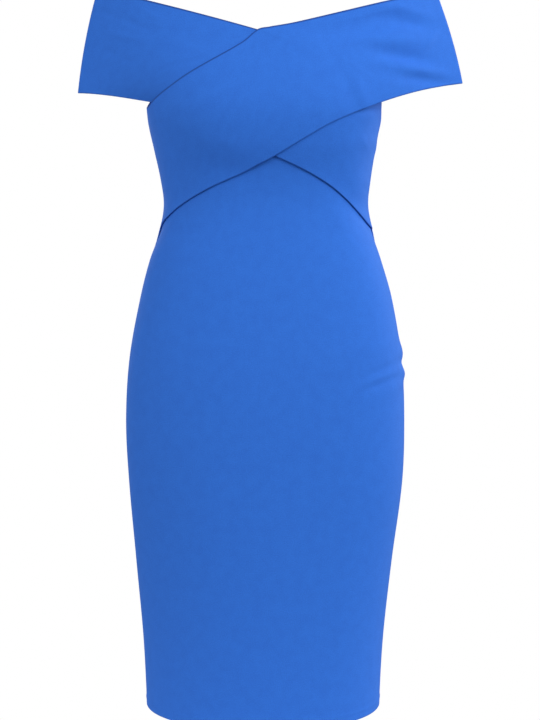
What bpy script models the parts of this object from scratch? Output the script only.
# Off-the-shoulder sheath dress in its worn, hollow form: front, back, two crossed bands and a back band.
# The front faces -Y, +Z is up, and left and right are as seen from the front. The origin is inside the
# bust, level with the underarms. Sizes are in millimetres and become metres where a point is placed.
import math

import bmesh
import bpy
from mathutils import Vector

MM = 0.001

body_wall = 1.4
band_wall = 1.8
layer_gap = 0.6
seam_gap = 0.3

# A turn is an angle in degrees round the body: the right side seam is at 362, which is 2 from the back,
# the middle of the back at 90, the left side seam at 187 and the middle of the front at 270.
left_seam = 187.0
right_seam = 362.0
seam_turn = 0.06

side_hem = -741.0
front_hem_dip = 17.0
back_hem_dip = 9.0
hem_dip_power = 0.9
underarm = 2.5
crossing_turn = 275.0
front_tuck = 20.0
back_tuck = 15.0

# Rows of the body panels: where each stretch of rows ends, and how many rows it has.
body_rows = (
    (-352.0, 12),
    (-276.0, 11),
    (-176.0, 5),
)
front_top_rows = 10
back_top_rows = 11
body_turns = 24

# Sections of the body: height, then half widths and depths from the origin's upright line, then the
# powers of its front and back curves. A power of 2 is an ellipse, and more is squarer.
LEFT, RIGHT, FRONT, BACK, FRONT_POWER, BACK_POWER = range(1, 7)
sections = (
    (-770.0, 144.0, 140.5, 108.0, 111.0, 1.90, 1.95),
    (-662.0, 149.5, 146.3, 108.0, 112.0, 1.95, 2.00),
    (-562.0, 158.7, 157.3, 109.0, 116.0, 2.00, 2.00),
    (-462.0, 167.7, 170.8, 111.0, 122.0, 2.05, 2.05),
    (-387.0, 171.5, 173.2, 112.0, 127.0, 2.05, 2.05),
    (-312.0, 167.5, 169.8, 110.0, 127.0, 2.10, 2.05),
    (-237.0, 154.0, 158.0, 104.0, 116.0, 2.15, 2.10),
    (-187.0, 141.3, 144.0, 99.0, 104.0, 2.20, 2.15),
    (-150.0, 127.0, 131.8, 96.0, 96.0, 2.20, 2.20),
    (-119.0, 121.8, 126.0, 96.0, 92.0, 2.20, 2.20),
    (-87.0, 125.7, 129.0, 102.0, 92.0, 2.25, 2.20),
    (-50.0, 133.8, 134.8, 116.0, 97.0, 2.35, 2.25),
    (-12.0, 141.8, 141.2, 123.0, 103.0, 2.45, 2.30),
    (25.0, 142.8, 143.5, 119.0, 105.0, 2.45, 2.30),
    (80.0, 145.0, 147.0, 105.0, 104.0, 2.35, 2.30),
    (140.0, 148.0, 148.0, 90.0, 100.0, 2.30, 2.30),
)

# Puckers beside the right side seam at the hip: height, rise and spread.
hip_puckers = (
    (-302.0, 2.6, 8.0),
    (-315.0, -1.2, 3.5),
    (-329.0, 2.8, 5.0),
)
pucker_turns = 11.0

# Ribs across each crossed band where it lies on the body: a place along the band, then the turn and
# height of the rib's lower and upper ends.
LOW_TURN, LOW_HEIGHT, HIGH_TURN, HIGH_HEIGHT = range(1, 5)
over_ribs = (
    (0.0, 187.0, -148.0, 187.0, 2.0),
    (1.0, 204.2, -136.3, 201.0, -1.2),
    (2.0, 215.4, -126.1, 212.0, 6.2),
    (3.0, 227.0, -115.4, 222.5, 16.3),
    (4.0, 239.6, -103.8, 235.0, 32.2),
    (5.0, 250.0, -94.8, 248.5, 50.0),
    (6.0, 258.6, -86.9, 260.0, 67.4),
    (6.8, 267.0, -76.4, 266.9, 82.3),
    (7.6, 275.2, -66.6, 272.5, 85.8),
    (8.6, 287.8, -48.9, 280.0, 90.0),
    (9.6, 299.0, -32.0, 287.0, 94.5),
    (10.1, 303.5, -25.9, 289.5, 96.2),
    (10.5, 307.0, -21.8, 292.0, 98.0),
)
under_ribs = (
    (0.0, 206.0, 2.0, 266.0, 84.0),
    (1.0, 224.0, -13.5, 271.5, 79.3),
    (2.0, 240.0, -30.5, 279.0, 71.0),
    (3.0, 259.3, -51.7, 290.0, 59.0),
    (4.0, 275.1, -66.8, 301.0, 48.0),
    (5.0, 288.9, -80.6, 311.2, 39.0),
    (6.0, 305.2, -99.3, 322.0, 31.0),
    (7.0, 320.0, -117.9, 334.0, 22.0),
    (8.0, 337.6, -140.0, 347.0, 11.0),
    (8.4, 346.5, -147.0, 351.0, 8.0),
    (9.0, 362.0, -150.5, 362.0, 2.5),
)

# The line just above the over band's upper edge where the under band springs off the body to its
# sleeve: a share of the band's width, then turn and height.
TURN, HEIGHT = 1, 2
spring_line = (
    (0.0, 206.0, 2.0),
    (0.10, 213.0, 8.2),
    (0.25, 222.5, 18.6),
    (0.45, 234.0, 33.4),
    (0.63, 244.0, 47.2),
    (0.82, 255.0, 61.8),
    (1.0, 266.0, 84.0),
)
spring_line_reach = 0.4

# The under band lifts the over band by its own thickness, with a slope this long beside it.
lift_margin = 5.0
lift_slope = 25.0
lift_turns = 14.0
side_lift_turns = 6.0
side_lift_slope_turns = 22.0
side_lift_from = -175.0

# The outer sleeve seams, where front and back are joined: across and height of the lower end and of
# the upper end.
left_sleeve = (-235.0, 22.3, -210.0, 154.0)
right_sleeve = (249.5, 34.5, 215.8, 151.0)
sleeve_seam_depth = 10.0
sleeve_seam_bow = 3.0
front_sleeve_tilts = (0.85, 1.10)
back_sleeve_tilts = (-0.80, -0.95)

# Soft folds along the over band's sleeve: a share of its width from the lower edge, rise and spread.
sleeve_folds = (
    (0.92, 1.6, 0.06),
    (0.73, -1.4, 0.07),
    (0.53, 1.8, 0.07),
    (0.36, -1.6, 0.06),
    (0.23, 1.4, 0.05),
)
fold_start = 0.12
fold_start_length = 0.4
fold_end = 0.8
fold_end_loss = 0.7

# The back band on the body, between the turns where it leaves for the sleeves.
back_band_turns = (56.0, 124.0)
back_band_low = 30.0
back_band_high = 103.0
back_band_end_rise = 9.0


def hermite(start, start_pull, end, end_pull, share):
    square, cube = share**2, share**3
    return (
        start * (2 * cube - 3 * square + 1)
        + start_pull * (cube - 2 * square + share)
        + end * (3 * square - 2 * cube)
        + end_pull * (cube - square)
    )


def through(table, column, at):
    # The value of a column at a place along the first one, on a smooth curve through the table's rows.
    places = [row[0] for row in table]
    last = len(table) - 1
    step = 0
    while step < last - 1 and at > places[step + 1]:
        step += 1

    def slope(row):
        before, after = max(row - 1, 0), min(row + 1, last)
        return (table[after][column] - table[before][column]) / (places[after] - places[before])

    span = places[step + 1] - places[step]
    share = (at - places[step]) / span
    start, end = table[step][column], table[step + 1][column]
    if share < 0.0:
        return start + share * span * slope(step)
    if share > 1.0:
        return end + (share - 1.0) * span * slope(step + 1)
    return hermite(start, slope(step) * span, end, slope(step + 1) * span, share)


def mix(start, end, share):
    return start + (end - start) * share


def ease(share):
    held = min(max(share, 0.0), 1.0)
    return held * held * (3.0 - 2.0 * held)


def bell(distance, spread):
    return math.exp(-0.5 * (distance / spread) ** 2)


def turns_apart(turn, other):
    return abs((turn - other + 180.0) % 360.0 - 180.0)


def hip_pucker(turn, height):
    beside_seam = bell(turns_apart(turn, right_seam), pucker_turns)
    return beside_seam * sum(rise * bell(height - place, spread) for place, rise, spread in hip_puckers)


def body_point(turn, height):
    across, away = math.cos(math.radians(turn)), math.sin(math.radians(turn))
    half_width = through(sections, RIGHT if across > 0 else LEFT, height)
    depth = through(sections, FRONT if away < 0 else BACK, height)
    power = through(sections, FRONT_POWER if away < 0 else BACK_POWER, height)
    reach = (abs(across) ** power + abs(away) ** power) ** (-1.0 / power)
    reach *= 1.0 + hip_pucker(turn, height) / half_width
    return Vector((half_width * reach * across, depth * reach * away, height))


def on_body(turn, height, outward):
    # A point at a distance outside the body's inner surface.
    turn_step, height_step = 0.4, 0.8
    round_way = body_point(turn + turn_step, height) - body_point(turn - turn_step, height)
    up_way = body_point(turn, height + height_step) - body_point(turn, height - height_step)
    return body_point(turn, height) + round_way.cross(up_way).normalized() * outward


def edge_height(ribs, turn_column, turn):
    # A rib's columns hold each turn before its height.
    edge = [(rib[turn_column], rib[turn_column + 1]) for rib in ribs]
    return through(edge, 1, turn)


def hem_height(turn):
    away = math.sin(math.radians(turn))
    dip = front_hem_dip if away < 0 else back_hem_dip
    return side_hem - dip * abs(away) ** hem_dip_power


def front_top(turn):
    over_low = edge_height(over_ribs, LOW_TURN, turn)
    under_low = edge_height(under_ribs, LOW_TURN, turn)
    return front_tuck + (over_low if turn < crossing_turn else under_low)


def back_top(turn):
    from_seam = min(turns_apart(turn, left_seam), turns_apart(turn, right_seam))
    band_from_seam = turns_apart(back_band_turns[0], right_seam)
    return mix(underarm, back_band_low + back_tuck, ease(from_seam / band_from_seam))


def body_height(turn, row, top, top_rows):
    lower_end, passed = hem_height(turn), 0
    for upper_end, rows in body_rows + ((top, top_rows),):
        if row <= passed + rows:
            return mix(lower_end, upper_end, (row - passed) / rows)
        lower_end, passed = upper_end, passed + rows
    return top


def side_lift(turn, height):
    # Beside the bands' ends the back panel's cloth comes out level with them.
    from_seam = min(turns_apart(turn, left_seam), turns_apart(turn, right_seam))
    beside = 1.0 - ease((from_seam - side_lift_turns) / side_lift_slope_turns)
    return (band_wall + layer_gap) * beside * ease((height - side_lift_from) / lift_slope)


def front_panel(share, row, inward):
    turn = mix(left_seam + seam_turn, right_seam - seam_turn, share)
    height = body_height(turn, row, front_top(turn), front_top_rows)
    return on_body(turn, height, body_wall - inward)


def back_panel(share, row, inward):
    turn = mix(right_seam - 360.0 + seam_turn, left_seam - seam_turn, share)
    height = body_height(turn, row, back_top(turn), back_top_rows)
    return on_body(turn, height, body_wall + side_lift(turn, height) - inward)


def over_band_lift(turn, height):
    above_low = height - edge_height(under_ribs, LOW_TURN, turn)
    below_high = lift_slope
    if turn > under_ribs[0][HIGH_TURN]:
        below_high = edge_height(under_ribs, HIGH_TURN, turn) - height
    covered = ease(1.0 + (above_low + lift_margin) / lift_slope)
    covered *= ease(1.0 + (below_high + lift_margin) / lift_slope)
    return (band_wall + layer_gap) * covered * ease((turn - left_seam) / lift_turns)


def rib_place(ribs, share, up):
    along = share * ribs[-1][0]
    turn = mix(through(ribs, LOW_TURN, along), through(ribs, HIGH_TURN, along), up)
    height = mix(through(ribs, LOW_HEIGHT, along), through(ribs, HIGH_HEIGHT, along), up)
    return turn, height


def band_level(inward):
    return body_wall + layer_gap + band_wall - inward


def over_on_body(share, up, inward):
    turn, height = rib_place(over_ribs, share, up)
    turn = max(turn, left_seam + seam_turn)
    return on_body(turn, height, band_level(inward) + over_band_lift(turn, height))


def under_on_body(share, up, inward):
    turn, height = rib_place(under_ribs, share, up)
    first_turn, first_height = rib_place(under_ribs, 0.0, up)
    fade = (1.0 - min(share / spring_line_reach, 1.0)) ** 2
    turn += fade * (through(spring_line, TURN, up) - first_turn)
    height += fade * (through(spring_line, HEIGHT, up) - first_height)
    return on_body(min(turn, right_seam - seam_turn), height, band_level(inward))


def back_on_body(share, up, inward):
    turn = mix(back_band_turns[0], back_band_turns[1], share)
    high = back_band_high + back_band_end_rise * (2.0 * share - 1.0) ** 2
    return on_body(turn, mix(back_band_low, high, up), band_level(inward))


def sleeve_seam_point(sleeve, up, face):
    low_across, low_height, high_across, high_height = sleeve
    bow = math.copysign(sleeve_seam_bow, low_across) * 4.0 * up * (1.0 - up)
    depth = sleeve_seam_depth + face * seam_gap / 2.0
    return Vector((mix(low_across, high_across, up) + bow, depth, mix(low_height, high_height, up)))


def sleeve_part(root_part, root_share, sleeve, face, hugs, slopes, folds=()):
    # Cloth from where a band leaves the body to the outer sleeve seam, where its share is 1. The face is
    # -1 in front and 1 behind, hugs are how far its lower and upper edges first follow the body, and the
    # slopes are those of the two edges at the seam.
    inside = root_share + (0.01 if root_share < 0.5 else -0.01)
    tilts = front_sleeve_tilts if face < 0 else back_sleeve_tilts
    outer_side = math.copysign(1.0, sleeve[0])

    def plain(share, up):
        root = root_part(root_share, up, 0.0)
        chord = sleeve_seam_point(sleeve, up, face) - root
        leaving = (root - root_part(inside, up, 0.0)).normalized()
        first_way = chord.normalized().lerp(leaving, mix(*hugs, up)).normalized()
        last_way = Vector((outer_side, mix(*tilts, up), mix(*slopes, up))).normalized()
        pull = chord.length
        return hermite(root, first_way * pull, root + chord, last_way * pull, share)

    def cloth(share, up, inward):
        step = 0.004
        out_way = plain(min(share + step, 1.0), up) - plain(max(share - step, 0.0), up)
        up_way = plain(share, min(up + step, 1.0)) - plain(share, max(up - step, 0.0))
        outward = out_way.cross(up_way).normalized()
        if outward.y * face < 0.0:
            outward.negate()
        reach = ease((share - fold_start) / fold_start_length)
        reach *= 1.0 - fold_end_loss * ease((share - fold_end) / (1.0 - fold_end))
        rise = reach * sum(height * bell(up - place, spread) for place, height, spread in folds)
        point = plain(share, up) + outward * (rise - inward)
        past_seam = (point.y - sleeve_seam_depth) * face - seam_gap / 2.0
        if past_seam < 0.0:
            point -= out_way * (past_seam * face / out_way.y)
        return point

    return cloth


def cloth_material(name, colour):
    material = bpy.data.materials.new(name)
    material.use_nodes = True
    shader = material.node_tree.nodes["Principled BSDF"]
    shader.inputs["Base Color"].default_value = (*colour, 1.0)
    shader.inputs["Roughness"].default_value = 0.85
    shader.inputs["Metallic"].default_value = 0.0
    return material


def cloth_wall(name, stretches, rows, wall, material):
    # A flat grid that becomes the outer face. Its extruded copy becomes the inner one.
    columns = sum(stretch[3] for stretch in stretches)
    places = []
    for part, start, end, count in stretches:
        first = 1 if places else 0
        places += [(part, mix(start, end, step / count)) for step in range(first, count + 1)]
    bm = bmesh.new()
    bmesh.ops.create_grid(bm, x_segments=columns, y_segments=rows, size=0.5)
    outer = list(bm.verts)
    extruded = bmesh.ops.extrude_face_region(bm, geom=list(bm.faces), use_keep_orig=True)
    inner = [part for part in extruded["geom"] if isinstance(part, bmesh.types.BMVert)]
    for verts, inward in ((outer, 0.0), (inner, wall)):
        for vert in verts:
            column, row = round((vert.co.x + 0.5) * columns), round((vert.co.y + 0.5) * rows)
            part, share = places[column]
            vert.co = part(share, row, inward) * MM
    bmesh.ops.recalc_face_normals(bm, faces=list(bm.faces))
    mesh = bpy.data.meshes.new(name)
    bm.to_mesh(mesh)
    bm.free()
    mesh.shade_smooth()
    mesh.set_sharp_from_angle(angle=math.radians(50.0))
    mesh.materials.append(material)
    piece = bpy.data.objects.new(name, mesh)
    bpy.context.scene.collection.objects.link(piece)
    return piece


def up_rows(part, rows):
    return lambda share, row, inward: part(share, row / rows, inward)


def build_body(material):
    rows = sum(stretch[1] for stretch in body_rows)
    front_rows, back_rows = rows + front_top_rows, rows + back_top_rows
    cloth_wall("body_front", [(front_panel, 0.0, 1.0, body_turns)], front_rows, body_wall, material)
    cloth_wall("body_back", [(back_panel, 0.0, 1.0, body_turns)], back_rows, body_wall, material)


def build_over_band(material):
    rows = 13
    body = up_rows(over_on_body, rows)
    sleeve = up_rows(sleeve_part(over_on_body, 1.0, right_sleeve, -1, (0.9, 0.9), (0.20, 0.34), sleeve_folds), rows)
    cloth_wall("band_over", [(body, 0.0, 1.0, 32), (sleeve, 0.0, 1.0, 12)], rows, band_wall, material)


def build_under_band(material):
    rows = 11
    body = up_rows(under_on_body, rows)
    sleeve = up_rows(sleeve_part(under_on_body, 0.0, left_sleeve, -1, (0.15, 0.5), (0.12, 0.40)), rows)
    cloth_wall("band_under", [(sleeve, 1.0, 0.0, 11), (body, 0.0, 1.0, 30)], rows, band_wall, material)


def build_back_band(material):
    rows = 7
    body = up_rows(back_on_body, rows)
    right = up_rows(sleeve_part(back_on_body, 0.0, right_sleeve, 1, (0.9, 0.9), (0.05, 0.25)), rows)
    left = up_rows(sleeve_part(back_on_body, 1.0, left_sleeve, 1, (0.9, 0.9), (-0.05, 0.25)), rows)
    stretches = [(right, 1.0, 0.0, 11), (body, 0.0, 1.0, 18), (left, 0.0, 1.0, 11)]
    cloth_wall("band_back", stretches, rows, band_wall, material)


def main():
    for thing in list(bpy.data.objects):
        bpy.data.objects.remove(thing, do_unlink=True)
    build_body(cloth_material("blue double-knit jersey", (0.036, 0.150, 0.650)))
    build_over_band(cloth_material("blue double-knit jersey, over band", (0.040, 0.160, 0.680)))
    build_under_band(cloth_material("blue double-knit jersey, under band", (0.030, 0.130, 0.600)))
    build_back_band(cloth_material("blue double-knit jersey, back band", (0.032, 0.140, 0.620)))


main()
